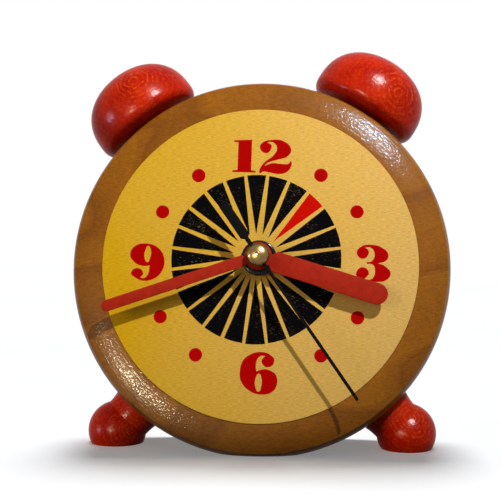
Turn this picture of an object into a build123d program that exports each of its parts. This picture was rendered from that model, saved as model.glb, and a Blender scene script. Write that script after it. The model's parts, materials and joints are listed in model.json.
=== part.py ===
from build123d import *
import os
from math import cos, radians, sin, sqrt

# Table clock in turned wood, shaped like a twin-bell alarm clock. Lengths are in
# millimetres and angles in degrees. The clock stands on the XY plane and faces -Y,
# leaning back. The origin lies in the middle of the flat sole under the case.

# Stance: the sole is cut into the drum to this depth halfway along it
lean = 8.4
sole_cut = 3.49

# Case: a turned drum with a crowned ring in front, hollow behind
case_radius = 76.6
case_depth = 44.0
ring_step = 0.4
face_edge_inset = 2.0
face_edge_drop = 3.4
face_crown = 0.55
face_edge_round = 1.2
side_start_drop = 10.0
back_edge_round = 2.0
hollow_radius = 48.0
web = 5.0

# Dial let into the front of the case
dial_radius = 63.0
dial_thickness = 3.4
dial_fit = 0.1

# Bells and feet, turned knobs on dowels in the side of the case
knob_seat_depth = 0.8
knob_seat_fit = 0.3
dowel_radius = 4.0
dowel_length = 24.0
dowel_fit = 0.1
dowel_end_gap = 0.5
dowel_in_knob = 10.5

bell_angle_left = -37.2
bell_angle_right = 31.7
bell_setback = 23.0
bell_radius = 23.5
bell_rim_height = 7.4
bell_rim_round = 6.0
bell_dome_height = 19.8
bell_shoulder = 0.742
bell_neck_radius = 9.5

foot_angle_left = -137.7
foot_angle_right = 138.1
foot_setback_left = 30.5
foot_setback_right = 25.0
foot_ball_rise_left = 5.3
foot_ball_rise_right = 6.3
foot_radius = 12.1
foot_flare_radius = 11.0
foot_flare_height = 0.6
foot_waist_radius = 10.2
foot_sole_round = 0.8

# Spindle stack; heights are measured from the dial's face
spindle_rise = 1.9
bush_radius = 4.0
bush_hole_fit = 0.3
bush_end_height = 3.4
nut_radius = 7.0
nut_height = 2.6
nut_edge_round = 0.7
thread_fit = 0.02
hand_fit = 0.01
running_gap = 0.05
seconds_arbor_radius = 0.5
minute_tube_radius = 1.75
hour_tube_radius = 2.5

# Hands
hand_thickness = 0.7
hub_disc_radius = 5.3
hour_hand_height = 5.0
hour_hand_length = 52.5
hour_hand_width = 8.3
hour_hand_shoulder = 2.0
hour_hand_angle = 107.4
minute_hand_height = 7.6
minute_hand_length = 64.5
minute_hand_width = 4.45
minute_hand_shoulder = 1.0
minute_hand_angle = 251.4
hand_root = 4.4
seconds_hand_height = 10.1
seconds_hand_thickness = 0.4
seconds_hand_length = 67.3
seconds_hand_width = 1.3
seconds_hand_angle = 145.4
seconds_disc_radius = 3.0
tail_neck_width = 1.75
tail_neck_length = 8.0
tail_flare_length = 1.0
tail_width = 4.0
tail_length = 24.0
cap_radius = 4.5
cap_height = 3.3
cap_rim = 0.5
dimple_radius = 0.7
dimple_depth = 0.2
cap_arbor_depth = 1.2

# Housing of the quartz movement
washer_thickness = 0.8
washer_radius = 10.0
housing_wall = 1.2
housing_corner = 3.0
inner_corner = 1.0
chamber_rise = 26.8
chamber_drop = 10.7
divider = 1.0
bay_gap = 0.3
contact_room = 3.1

# Cell and its contacts
cell_radius = 7.25
cell_length = 50.5
cell_nub_radius = 2.75
cell_nub_length = 1.0
cell_edge_round = 0.6
contact_thickness = 0.4
contact_gap = 0.3
contact_depth = 10.0
contact_height = 11.0
wall_gap = 0.05
lead_depth = 1.4
lead_gap = 0.1
lead_slot = 1.0
lead_slot_depth = 2.0
plus_lead_shift = 1.7

# Layers behind the front wall of the housing, from front to back
layer_gap = 0.4
hour_layer = 1.0
motion_layer = 0.8
centre_layer = 0.8
plate_gap = 0.5
third_layer = 0.8
train_plate_thickness = 1.0
seconds_layer = 0.8
fifth_layer = 0.6
rotor_layer = 2.4
stator_inset = 0.8
stator_thickness = 0.8
rear_room = 2.0

# Wheels: tooth counts, modules and the directions of the centre lines
minute_teeth = 12
motion_teeth = 36
motion_pinion_teeth = 10
hour_teeth = 40
setting_teeth = 12
motion_module = 0.35
centre_teeth = 64
third_pinion_teeth = 8
third_teeth = 60
seconds_pinion_teeth = 8
third_module = 0.30
seconds_teeth = 60
fifth_pinion_teeth = 12
fifth_module = 0.25
fifth_teeth = 60
rotor_teeth = 10
rotor_module = 0.20
motion_direction = 125.0
setting_direction = 150.0
third_direction = 30.0
fifth_direction = 100.0
rotor_direction = 45.0

# Teeth: heights as shares of the module, widths as shares of the pitch
tooth_tip = 0.80
tooth_root = 1.15
tooth_tip_width = 0.24
tooth_root_width = 0.62

# Arbors, posts and plates
pivot_radius = 0.5
pivot_depth = 0.8
pivot_end_gap = 0.2
post_radius = 0.7
post_end_gap = 0.1
pillar_radius = 1.3
pillar_x = 15.0
pillar_low = -8.0
pillar_high = 15.2
plate_width = 34.0
plate_margin = 2.0
setting_shaft_radius = 1.2

# Setting knob behind the rear cover
knob_radius = 6.5
knob_thickness = 4.0
knob_gap = 0.6
knob_grips = 18
knob_grip_radius = 0.55
knob_bore_depth = 3.0

# Motor
magnet_radius = 2.8
magnet_air_gap = 0.6
stator_band = 2.4
stator_leg = 2.8
stator_half_span = 8.0
stator_reach = 9.7
stator_notch = 1.5
coil_core_width = 2.0
coil_core_thickness = 0.8
coil_core_fit = 0.05
bobbin_radius = 1.5
bobbin_flange_radius = 2.8
bobbin_flange = 0.6
bobbin_end_gap = 0.3
winding_radius = 2.5

# Circuit board against the left wall of the housing
board_wall_gap = 0.1
board_y = 21.0
board_width = 20.0
board_height = 9.0
board_thickness = 0.8
board_post_spread = 8.0
lead_top = 18.0
crystal_radius = 1.0
crystal_length = 6.0
crystal_shift = -3.3
crystal_rise = 3.0
chip_radius = 2.4
chip_height = 1.0
chip_round = 0.8
chip_shift = 3.7

os.makedirs("parts", exist_ok=True)


# Frames
tilt = radians(lean)
centre_height = case_radius * cos(tilt) + case_depth / 2 * sin(tilt) - sole_cut
sole_y = (-centre_height + case_depth / 2 * sin(tilt)) / cos(tilt)
dial_setback = -(sole_y * sin(tilt) + case_depth / 2 * cos(tilt))
face = Plane(
    origin=(0, dial_setback, centre_height),
    x_dir=(1, 0, 0),
    z_dir=(0, -cos(tilt), sin(tilt)),
)
spindle_point = face.from_local_coords((0, spindle_rise, 0))
spindle_axis = Axis(spindle_point, face.z_dir)
table = Plane.XY


def at(x, y, z):
    """Plane parallel to the dial through a point given from the spindle."""
    point = face.from_local_coords((x, spindle_rise + y, z))
    return Plane(origin=point, x_dir=face.x_dir, z_dir=face.z_dir)


def across(x, y, z):
    """Plane square to the dial's X axis: its X runs up the dial, its Y out of it."""
    return Plane(origin=at(x, y, z).origin, x_dir=face.y_dir, z_dir=face.x_dir)


def upright(plane):
    """Plane that holds a plane's normal: X stays, Y runs along the normal."""
    return Plane(origin=plane.origin, x_dir=plane.x_dir, z_dir=-plane.y_dir)


def along_hand(clock_angle, height):
    """Plane over the dial whose Y axis points along a hand."""
    turn = radians(clock_angle)
    sideways = face.x_dir * cos(turn) - face.y_dir * sin(turn)
    return Plane(origin=at(0, 0, height).origin, x_dir=sideways, z_dir=face.z_dir)


def on_case_side(clock_angle, setback):
    """Plane on the side of the case, behind the dial, whose normal points straight out."""
    turn = radians(clock_angle)
    outward = face.x_dir * sin(turn) + face.y_dir * cos(turn)
    middle = face.from_local_coords((0, 0, -setback))
    return Plane(origin=middle + outward * case_radius, x_dir=face.z_dir, z_dir=outward)


def polar(distance, direction, start=(0.0, 0.0)):
    """Point at a distance and a direction from another point."""
    turn = radians(direction)
    return (start[0] + distance * cos(turn), start[1] + distance * sin(turn))


# Outlines shared by several pieces
def ring(x, y, z, radius, bore=0.0):
    """Disc or ring parallel to the dial."""
    with BuildSketch(at(x, y, z)) as outline:
        Circle(radius)
        if bore > 0:
            Circle(bore, mode=Mode.SUBTRACT)
    return outline.sketch


def block(x, y, z, width, height, corner=0.0):
    """Rectangle parallel to the dial, with round corners if asked for."""
    with BuildSketch(at(x, y, z)) as outline:
        if corner > 0:
            RectangleRounded(width, height, corner)
        else:
            Rectangle(width, height)
    return outline.sketch


def strip(left, right, bottom, top, z):
    """Rectangle parallel to the dial, given by its four sides."""
    return block((left + right) / 2, (bottom + top) / 2, z, right - left, top - bottom)


def gear(place, z, teeth, module, turn, bore=0.0):
    """Toothed wheel parallel to the dial, with one tooth at the angle turn."""
    pitch_radius = module * teeth / 2
    root_radius = pitch_radius - tooth_root * module
    tip_radius = pitch_radius + tooth_tip * module
    corners = (
        (root_radius, -tooth_root_width / 2),
        (tip_radius, -tooth_tip_width / 2),
        (tip_radius, tooth_tip_width / 2),
        (root_radius, tooth_root_width / 2),
    )
    points = []
    for tooth in range(teeth):
        for radius, share in corners:
            points.append(polar(radius, turn + (tooth + share) * 360 / teeth))
    with BuildSketch(at(*place, z)) as outline:
        with BuildLine():
            Polyline(*points, close=True)
        make_face()
        if bore > 0:
            Circle(bore, mode=Mode.SUBTRACT)
    return outline.sketch


def meshed_turn(direction, turn, teeth, other_teeth):
    """Angle of a tooth on the wheel that meshes with a wheel turned by turn."""
    return direction + 180 + 180 / other_teeth - (turn - direction) * teeth / other_teeth


# Levels behind the dial's face, all negative
web_front = -dial_thickness
web_back = web_front - web
front_wall = web_back - washer_thickness
inside = front_wall - housing_wall
hour_z = inside - layer_gap - hour_layer
motion_z = hour_z - layer_gap - motion_layer
motion_front = motion_z + motion_layer
centre_z = motion_z - layer_gap - centre_layer
centre_front = centre_z + centre_layer
third_z = centre_z - plate_gap - third_layer
plate_z = third_z - plate_gap - train_plate_thickness
plate_front = plate_z + train_plate_thickness
seconds_z = plate_z - plate_gap - seconds_layer
fifth_z = seconds_z - plate_gap - fifth_layer
rotor_z = fifth_z - plate_gap - rotor_layer
stator_z = rotor_z + rotor_layer - stator_inset - stator_thickness
core_z = stator_z + stator_thickness
core_front = core_z + coil_core_thickness
cover_z = rotor_z - rear_room
housing_back = cover_z - housing_wall
knob_front = housing_back - knob_gap
knob_back = knob_front - knob_thickness
lead_z = cover_z + lead_gap
board_z = lead_z + lead_depth
board_front = board_z + board_thickness

# Ends of the pivots in the front wall, the train plate and the rear cover
front_pivot = inside + pivot_depth - pivot_end_gap
plate_pivot_back = plate_z + pivot_end_gap
plate_pivot_front = plate_front - pivot_end_gap
rear_pivot = cover_z - pivot_depth + pivot_end_gap

# Places of the arbors, from the spindle
motion_distance = motion_module * (minute_teeth + motion_teeth) / 2
hour_module = 2 * motion_distance / (motion_pinion_teeth + hour_teeth)
setting_distance = motion_module * (motion_teeth + setting_teeth) / 2
third_distance = third_module * (third_teeth + seconds_pinion_teeth) / 2
centre_module = 2 * third_distance / (centre_teeth + third_pinion_teeth)
fifth_distance = fifth_module * (seconds_teeth + fifth_pinion_teeth) / 2
rotor_distance = rotor_module * (fifth_teeth + rotor_teeth) / 2
centre = (0.0, 0.0)
motion_place = polar(motion_distance, motion_direction)
setting_place = polar(setting_distance, setting_direction, motion_place)
third_place = polar(third_distance, third_direction)
fifth_place = polar(fifth_distance, fifth_direction)
rotor_place = polar(rotor_distance, rotor_direction, fifth_place)
coil_x, rotor_y = rotor_place
coil_y = rotor_y + stator_reach
coil_ends = (coil_x - stator_half_span, coil_x + stator_half_span)

# Rest angles that leave every pair of wheels in mesh
minute_turn = motion_direction
motion_turn = meshed_turn(motion_direction, minute_turn, minute_teeth, motion_teeth)
setting_turn = meshed_turn(setting_direction, motion_turn, motion_teeth, setting_teeth)
hour_turn = motion_direction
motion_pinion_turn = meshed_turn(motion_direction, hour_turn, hour_teeth, motion_pinion_teeth)
centre_turn = third_direction
third_pinion_turn = meshed_turn(third_direction, centre_turn, centre_teeth, third_pinion_teeth)
seconds_pinion_turn = third_direction
third_turn = meshed_turn(third_direction, seconds_pinion_turn, seconds_pinion_teeth, third_teeth)
seconds_turn = fifth_direction
fifth_pinion_turn = meshed_turn(fifth_direction, seconds_turn, seconds_teeth, fifth_pinion_teeth)
fifth_turn = rotor_direction
rotor_turn = meshed_turn(rotor_direction, fifth_turn, fifth_teeth, rotor_teeth)

# Housing and bay sizes
bay_height = 2 * (cell_radius + bay_gap)
inner_width = cell_length + contact_room
inner_half = inner_width / 2
housing_width = inner_width + 2 * housing_wall
housing_top = chamber_rise + housing_wall
bay_top = -(chamber_drop + divider)
housing_bottom = bay_top - bay_height - housing_wall
cell_y = bay_top - bay_height / 2
cell_z = inside - bay_gap - cell_radius
board_x = board_wall_gap + board_width / 2 - inner_half
chip_x = board_x + chip_shift
crystal_x = board_x + crystal_shift
crystal_y = board_y + crystal_rise


# Where the knobs sit: clock angle, distance behind the dial and radius of the seat
knob_seats = (
    (bell_angle_left, bell_setback, bell_neck_radius),
    (bell_angle_right, bell_setback, bell_neck_radius),
    (foot_angle_left, foot_setback_left, foot_flare_radius),
    (foot_angle_right, foot_setback_right, foot_flare_radius),
)

# Case
side_start = (case_radius, -side_start_drop)
face_edge = (case_radius - face_edge_inset, -face_edge_drop)
ring_inner = (dial_radius + dial_fit, -ring_step)
back_corner = (case_radius, -case_depth)
with BuildPart() as case_body:
    with BuildSketch(upright(face)) as outline:
        with BuildLine():
            SagittaArc(ring_inner, face_edge, face_crown)
            TangentArc(side_start, face_edge, tangent=(0, 1))
            Polyline(
                side_start,
                back_corner,
                (hollow_radius, -case_depth),
                (hollow_radius, web_back),
                (0, web_back),
                (0, web_front),
                (dial_radius + dial_fit, web_front),
                ring_inner,
            )
        make_face()
        fillet(outline.vertices().sort_by_distance(face_edge)[0], face_edge_round)
        fillet(outline.vertices().sort_by_distance(back_corner)[0], back_edge_round)
    revolve(axis=Axis(face.origin, face.z_dir))
    extrude(ring(0, 0, web_back, bush_radius + bush_hole_fit), amount=web, mode=Mode.SUBTRACT)
    split(bisect_by=table, keep=Keep.TOP)
    for clock_angle, setback, seat_radius in knob_seats:
        seat = on_case_side(clock_angle, setback).offset(-knob_seat_depth)
        with BuildSketch(seat):
            Circle(seat_radius + knob_seat_fit)
        extrude(amount=2 * knob_seat_depth, mode=Mode.SUBTRACT)
        with BuildSketch(seat):
            Circle(dowel_radius + dowel_fit)
        extrude(amount=dowel_in_knob - dowel_length - dowel_end_gap, mode=Mode.SUBTRACT)
case_body.part.label = "case_body"
export_step(case_body.part, "parts/case_body.step")


# Dial
with BuildPart() as dial_disc:
    with BuildSketch(face.offset(-dial_thickness)):
        Circle(dial_radius)
        with Locations((0, spindle_rise)):
            Circle(bush_radius + bush_hole_fit, mode=Mode.SUBTRACT)
    extrude(amount=dial_thickness)
dial_disc.part.label = "dial_disc"
export_step(dial_disc.part, "parts/dial_disc.step")


# Bells
def bell(clock_angle):
    """Squat turned dome with a flat underside on a short neck."""
    side = on_case_side(clock_angle, bell_setback)
    top = bell_rim_height + bell_dome_height
    under = bell_rim_height - bell_rim_round
    shoulder = (bell_radius * bell_shoulder, bell_rim_height + bell_dome_height * bell_shoulder)
    with BuildPart() as knob:
        with BuildSketch(upright(side)):
            with BuildLine():
                Spline(
                    (0, top),
                    shoulder,
                    (bell_radius, bell_rim_height),
                    tangents=((1, 0), (0, -1)),
                )
                TangentArc(
                    (bell_radius, bell_rim_height),
                    (bell_radius - bell_rim_round, under),
                    tangent=(0, -1),
                )
                Polyline(
                    (bell_radius - bell_rim_round, under),
                    (bell_neck_radius, under),
                    (bell_neck_radius, -knob_seat_depth),
                    (0, -knob_seat_depth),
                    (0, top),
                )
            make_face()
        revolve(axis=Axis(side.origin, side.z_dir))
        with BuildSketch(side.offset(-knob_seat_depth)):
            Circle(dowel_radius + dowel_fit)
        extrude(amount=dowel_in_knob + dowel_end_gap, mode=Mode.SUBTRACT)
    return knob.part


for name, clock_angle in (("bell_left", bell_angle_left), ("bell_right", bell_angle_right)):
    knob = bell(clock_angle)
    knob.label = name
    export_step(knob, f"parts/{name}.step")


# Feet
def foot(clock_angle, setback, ball_rise):
    """Turned ball on a flared waist, cut flat where it meets the table."""
    side = on_case_side(clock_angle, setback)
    ball_height = (ball_rise - side.origin.Z) / side.z_dir.Z
    waist_height = ball_height - sqrt(foot_radius**2 - foot_waist_radius**2)
    top = ball_height + foot_radius
    with BuildPart() as knob:
        with BuildSketch(upright(side)):
            with BuildLine():
                ThreePointArc(
                    (foot_waist_radius, waist_height),
                    (foot_radius, ball_height),
                    (0, top),
                )
                Polyline(
                    (0, top),
                    (0, -knob_seat_depth),
                    (foot_flare_radius, -knob_seat_depth),
                    (foot_flare_radius, foot_flare_height),
                )
                TangentArc(
                    (foot_waist_radius, waist_height),
                    (foot_flare_radius, foot_flare_height),
                    tangent=(0, -1),
                )
            make_face()
        revolve(axis=Axis(side.origin, side.z_dir))
        split(bisect_by=table, keep=Keep.TOP)
        fillet(knob.faces().sort_by(Axis.Z)[0].edges(), foot_sole_round)
        with BuildSketch(side.offset(-knob_seat_depth)):
            Circle(dowel_radius + dowel_fit)
        extrude(amount=dowel_in_knob + dowel_end_gap, mode=Mode.SUBTRACT)
    return knob.part


for name, clock_angle, setback, ball_rise in (
    ("foot_left", foot_angle_left, foot_setback_left, foot_ball_rise_left),
    ("foot_right", foot_angle_right, foot_setback_right, foot_ball_rise_right),
):
    knob = foot(clock_angle, setback, ball_rise)
    knob.label = name
    export_step(knob, f"parts/{name}.step")


# Dowels that carry the bells and feet
with BuildPart() as knob_dowels:
    for clock_angle, setback, seat_radius in knob_seats:
        side = on_case_side(clock_angle, setback)
        with BuildSketch(side.offset(dowel_in_knob - knob_seat_depth - dowel_length)):
            Circle(dowel_radius)
        extrude(amount=dowel_length)
knob_dowels.part.label = "knob_dowels"
export_step(knob_dowels.part, "parts/knob_dowels.step")


# Nut and washer that clamp case and dial to the movement
with BuildPart() as fixing_nut:
    extrude(ring(0, 0, 0, nut_radius, bush_radius + thread_fit), amount=nut_height)
    front_face = fixing_nut.faces().sort_by(spindle_axis)[-1]
    fillet(front_face.outer_wire().edges(), nut_edge_round)
fixing_nut.part.label = "fixing_nut"
export_step(fixing_nut.part, "parts/fixing_nut.step")

with BuildPart() as rubber_washer:
    extrude(
        ring(0, 0, front_wall, washer_radius, bush_radius + bush_hole_fit),
        amount=washer_thickness,
    )
rubber_washer.part.label = "rubber_washer"
export_step(rubber_washer.part, "parts/rubber_washer.step")


# Hands
def bar_hand(clock_angle, height, length, width, shoulder, bore):
    """Flat hand: a disc and a straight bar with chamfered shoulders and a round end."""
    half = width / 2
    with BuildPart() as hand:
        with BuildSketch(along_hand(clock_angle, height)):
            with BuildLine():
                Polyline(
                    (-half, length - half),
                    (-half, hand_root + shoulder),
                    (-half + shoulder, hand_root),
                    (half - shoulder, hand_root),
                    (half, hand_root + shoulder),
                    (half, length - half),
                )
                ThreePointArc((half, length - half), (0, length), (-half, length - half))
            make_face()
            Circle(hub_disc_radius)
            Circle(bore, mode=Mode.SUBTRACT)
        extrude(amount=hand_thickness)
    return hand.part


hour_hand = bar_hand(
    hour_hand_angle,
    hour_hand_height,
    hour_hand_length,
    hour_hand_width,
    hour_hand_shoulder,
    hour_tube_radius + hand_fit,
)
hour_hand.label = "hour_hand"
export_step(hour_hand, "parts/hour_hand.step")

minute_hand = bar_hand(
    minute_hand_angle,
    minute_hand_height,
    minute_hand_length,
    minute_hand_width,
    minute_hand_shoulder,
    minute_tube_radius + hand_fit,
)
minute_hand.label = "minute_hand"
export_step(minute_hand, "parts/minute_hand.step")

needle_half = seconds_hand_width / 2
needle_end = seconds_hand_length - needle_half
neck_half = tail_neck_width / 2
tail_half = tail_width / 2
flare_end = tail_neck_length + tail_flare_length
with BuildPart() as seconds_hand:
    with BuildSketch(along_hand(seconds_hand_angle, seconds_hand_height)):
        with BuildLine():
            Polyline(
                (-needle_half, needle_end),
                (-needle_half, 0),
                (-neck_half, 0),
                (-neck_half, -tail_neck_length),
                (-tail_half, -flare_end),
                (-tail_half, -tail_length),
                (tail_half, -tail_length),
                (tail_half, -flare_end),
                (neck_half, -tail_neck_length),
                (neck_half, 0),
                (needle_half, 0),
                (needle_half, needle_end),
            )
            ThreePointArc(
                (needle_half, needle_end), (0, seconds_hand_length), (-needle_half, needle_end)
            )
        make_face()
        Circle(seconds_disc_radius)
        Circle(seconds_arbor_radius + hand_fit, mode=Mode.SUBTRACT)
    extrude(amount=seconds_hand_thickness)
seconds_hand.part.label = "seconds_hand"
export_step(seconds_hand.part, "parts/seconds_hand.step")

# Domed cap with a dimple, pressed on the seconds arbor
cap_z = seconds_hand_height + seconds_hand_thickness
with BuildPart() as hub_cap:
    with BuildSketch(upright(at(0, 0, cap_z))):
        with BuildLine():
            Polyline((0, cap_height), (0, 0), (cap_radius, 0), (cap_radius, cap_rim))
            EllipticalCenterArc((0, cap_rim), cap_radius, cap_height - cap_rim, 0, arc_size=90)
        make_face()
        with Locations((0, cap_height + dimple_radius - dimple_depth)):
            Circle(dimple_radius, mode=Mode.SUBTRACT)
    revolve(axis=spindle_axis)
    extrude(
        ring(0, 0, cap_z, seconds_arbor_radius + hand_fit),
        amount=cap_arbor_depth,
        mode=Mode.SUBTRACT,
    )
hub_cap.part.label = "hub_cap"
export_step(hub_cap.part, "parts/hub_cap.step")


# Housing front with its threaded bush, pillars and posts
housing_height = housing_top - housing_bottom
housing_middle = (housing_top + housing_bottom) / 2
chamber_height = chamber_rise + chamber_drop
chamber_middle = (chamber_rise - chamber_drop) / 2
pillar_places = [(x, y) for x in (-pillar_x, pillar_x) for y in (pillar_low, pillar_high)]
coil_posts = [(x, coil_y) for x in coil_ends]
board_posts = [(board_x - board_post_spread, board_y), (board_x + board_post_spread, board_y)]


def cover_outline(z):
    """Part of the housing's outline that lies over the wheels."""
    with BuildSketch(at(0, 0, z)) as outline:
        with Locations((0, housing_middle)):
            RectangleRounded(housing_width, housing_height, housing_corner)
        with Locations((0, (housing_top + bay_top) / 2)):
            Rectangle(housing_width, housing_top - bay_top, mode=Mode.INTERSECT)
    return outline.sketch


with BuildPart() as movement_front:
    extrude(
        block(0, housing_middle, housing_back, housing_width, housing_height, housing_corner),
        amount=front_wall - housing_back,
    )
    extrude(cover_outline(housing_back), amount=housing_wall, mode=Mode.SUBTRACT)
    extrude(
        block(0, chamber_middle, cover_z, inner_width, chamber_height, inner_corner),
        amount=inside - cover_z,
        mode=Mode.SUBTRACT,
    )
    extrude(
        block(0, cell_y, housing_back, inner_width, bay_height, inner_corner),
        amount=inside - housing_back,
        mode=Mode.SUBTRACT,
    )
    for side in (-1, 1):
        slot_x = side * (inner_half - lead_slot / 2)
        extrude(
            block(slot_x, bay_top, cover_z, lead_slot, 4 * divider),
            amount=lead_slot_depth,
            mode=Mode.SUBTRACT,
        )
    for x, y in pillar_places:
        extrude(ring(x, y, plate_front, pillar_radius), amount=inside - plate_front)
    for x, y in coil_posts:
        extrude(ring(x, y, core_front, pillar_radius), amount=inside - core_front)
    for x, y in board_posts:
        extrude(ring(x, y, board_front, pillar_radius), amount=inside - board_front)
    post_end = motion_z - post_end_gap
    extrude(ring(*motion_place, post_end, post_radius), amount=inside - post_end)
    extrude(ring(0, 0, front_wall, bush_radius), amount=bush_end_height - front_wall)
    extrude(
        ring(0, 0, inside, hour_tube_radius + running_gap),
        amount=bush_end_height - inside,
        mode=Mode.SUBTRACT,
    )
    for place in (third_place, setting_place):
        extrude(
            ring(*place, inside, pivot_radius + running_gap),
            amount=pivot_depth,
            mode=Mode.SUBTRACT,
        )
movement_front.part.label = "movement_front"
export_step(movement_front.part, "parts/movement_front.step")

# Plate between the two groups of wheels
plate_top = pillar_high + plate_margin
plate_bottom = pillar_low - plate_margin
plate_height = plate_top - plate_bottom
with BuildPart() as train_plate:
    extrude(
        block(0, plate_bottom + plate_height / 2, plate_z, plate_width, plate_height, inner_corner),
        amount=train_plate_thickness,
    )
    for place in (centre, third_place, fifth_place, rotor_place):
        extrude(
            ring(*place, plate_z, pivot_radius + running_gap),
            amount=train_plate_thickness,
            mode=Mode.SUBTRACT,
        )
    extrude(
        ring(*setting_place, plate_z, setting_shaft_radius + running_gap),
        amount=train_plate_thickness,
        mode=Mode.SUBTRACT,
    )
train_plate.part.label = "train_plate"
export_step(train_plate.part, "parts/train_plate.step")

# Rear cover over the wheels
with BuildPart() as movement_back:
    extrude(cover_outline(housing_back), amount=housing_wall)
    for place in (centre, fifth_place, rotor_place):
        extrude(
            ring(*place, cover_z, pivot_radius + running_gap),
            amount=-pivot_depth,
            mode=Mode.SUBTRACT,
        )
    extrude(
        ring(*setting_place, housing_back, setting_shaft_radius + running_gap),
        amount=housing_wall,
        mode=Mode.SUBTRACT,
    )
movement_back.part.label = "movement_back"
export_step(movement_back.part, "parts/movement_back.step")


# Motion work: the hour hand turns once for twelve turns of the minute hand
minute_tube_end = minute_hand_height + hand_thickness
with BuildPart() as cannon_pinion:
    extrude(gear(centre, motion_z, minute_teeth, motion_module, minute_turn), amount=motion_layer)
    extrude(ring(*centre, centre_z, minute_tube_radius), amount=minute_tube_end - centre_z)
    extrude(
        ring(*centre, centre_z, seconds_arbor_radius + running_gap),
        amount=minute_tube_end - centre_z,
        mode=Mode.SUBTRACT,
    )
cannon_pinion.part.label = "cannon_pinion"
export_step(cannon_pinion.part, "parts/cannon_pinion.step")

with BuildPart() as motion_wheel:
    extrude(
        gear(motion_place, motion_z, motion_teeth, motion_module, motion_turn),
        amount=motion_layer,
    )
    extrude(
        gear(motion_place, motion_front, motion_pinion_teeth, hour_module, motion_pinion_turn),
        amount=hour_z + hour_layer - motion_front,
    )
    extrude(
        ring(*motion_place, motion_z, post_radius + running_gap),
        amount=hour_z + hour_layer - motion_z,
        mode=Mode.SUBTRACT,
    )
motion_wheel.part.label = "motion_wheel"
export_step(motion_wheel.part, "parts/motion_wheel.step")

hour_tube_end = hour_hand_height + hand_thickness
with BuildPart() as hour_wheel:
    extrude(gear(centre, hour_z, hour_teeth, hour_module, hour_turn), amount=hour_layer)
    extrude(ring(*centre, hour_z, hour_tube_radius), amount=hour_tube_end - hour_z)
    extrude(
        ring(*centre, hour_z, minute_tube_radius + running_gap),
        amount=hour_tube_end - hour_z,
        mode=Mode.SUBTRACT,
    )
hour_wheel.part.label = "hour_wheel"
export_step(hour_wheel.part, "parts/hour_wheel.step")

# Setting pinion on its long shaft, and the knob behind the cover
with BuildPart() as setting_pinion:
    extrude(
        gear(setting_place, motion_z, setting_teeth, motion_module, setting_turn),
        amount=motion_layer,
    )
    extrude(ring(*setting_place, motion_z, pivot_radius), amount=front_pivot - motion_z)
    shaft_end = knob_front - knob_bore_depth
    extrude(ring(*setting_place, shaft_end, setting_shaft_radius), amount=motion_z - shaft_end)
setting_pinion.part.label = "setting_pinion"
export_step(setting_pinion.part, "parts/setting_pinion.step")

with BuildPart() as setting_knob:
    with BuildSketch(at(*setting_place, knob_back)):
        Circle(knob_radius)
        with PolarLocations(knob_radius, knob_grips):
            Circle(knob_grip_radius, mode=Mode.SUBTRACT)
    extrude(amount=knob_thickness)
    extrude(
        ring(*setting_place, knob_front, setting_shaft_radius + hand_fit),
        amount=-knob_bore_depth,
        mode=Mode.SUBTRACT,
    )
setting_knob.part.label = "setting_knob"
export_step(setting_knob.part, "parts/setting_knob.step")


# Going train: rotor, fifth wheel, seconds wheel, third wheel, centre wheel
with BuildPart() as centre_wheel:
    extrude(
        gear(
            centre,
            centre_z,
            centre_teeth,
            centre_module,
            centre_turn,
            bore=minute_tube_radius + running_gap,
        ),
        amount=centre_layer,
    )
centre_wheel.part.label = "centre_wheel"
export_step(centre_wheel.part, "parts/centre_wheel.step")

with BuildPart() as third_wheel:
    extrude(gear(third_place, third_z, third_teeth, third_module, third_turn), amount=third_layer)
    third_front = third_z + third_layer
    extrude(
        gear(third_place, third_front, third_pinion_teeth, centre_module, third_pinion_turn),
        amount=centre_front - third_front,
    )
    extrude(
        ring(*third_place, plate_pivot_back, pivot_radius),
        amount=front_pivot - plate_pivot_back,
    )
third_wheel.part.label = "third_wheel"
export_step(third_wheel.part, "parts/third_wheel.step")

arbor_tip = cap_z + cap_arbor_depth
with BuildPart() as seconds_wheel:
    extrude(
        gear(centre, seconds_z, seconds_teeth, fifth_module, seconds_turn),
        amount=seconds_layer,
    )
    extrude(
        gear(centre, third_z, seconds_pinion_teeth, third_module, seconds_pinion_turn),
        amount=third_layer,
    )
    extrude(ring(*centre, rear_pivot, seconds_arbor_radius), amount=arbor_tip - rear_pivot)
seconds_wheel.part.label = "seconds_wheel"
export_step(seconds_wheel.part, "parts/seconds_wheel.step")

with BuildPart() as fifth_wheel:
    extrude(gear(fifth_place, fifth_z, fifth_teeth, rotor_module, fifth_turn), amount=fifth_layer)
    fifth_front = fifth_z + fifth_layer
    extrude(
        gear(fifth_place, fifth_front, fifth_pinion_teeth, fifth_module, fifth_pinion_turn),
        amount=seconds_z + seconds_layer - fifth_front,
    )
    extrude(
        ring(*fifth_place, rear_pivot, pivot_radius),
        amount=plate_pivot_front - rear_pivot,
    )
fifth_wheel.part.label = "fifth_wheel"
export_step(fifth_wheel.part, "parts/fifth_wheel.step")

with BuildPart() as rotor_pinion:
    extrude(gear(rotor_place, fifth_z, rotor_teeth, rotor_module, rotor_turn), amount=fifth_layer)
    extrude(
        ring(*rotor_place, rear_pivot, pivot_radius),
        amount=plate_pivot_front - rear_pivot,
    )
rotor_pinion.part.label = "rotor_pinion"
export_step(rotor_pinion.part, "parts/rotor_pinion.step")

with BuildPart() as rotor_magnet:
    extrude(
        ring(*rotor_place, rotor_z, magnet_radius, pivot_radius + hand_fit),
        amount=rotor_layer,
    )
rotor_magnet.part.label = "rotor_magnet"
export_step(rotor_magnet.part, "parts/rotor_magnet.step")


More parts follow.
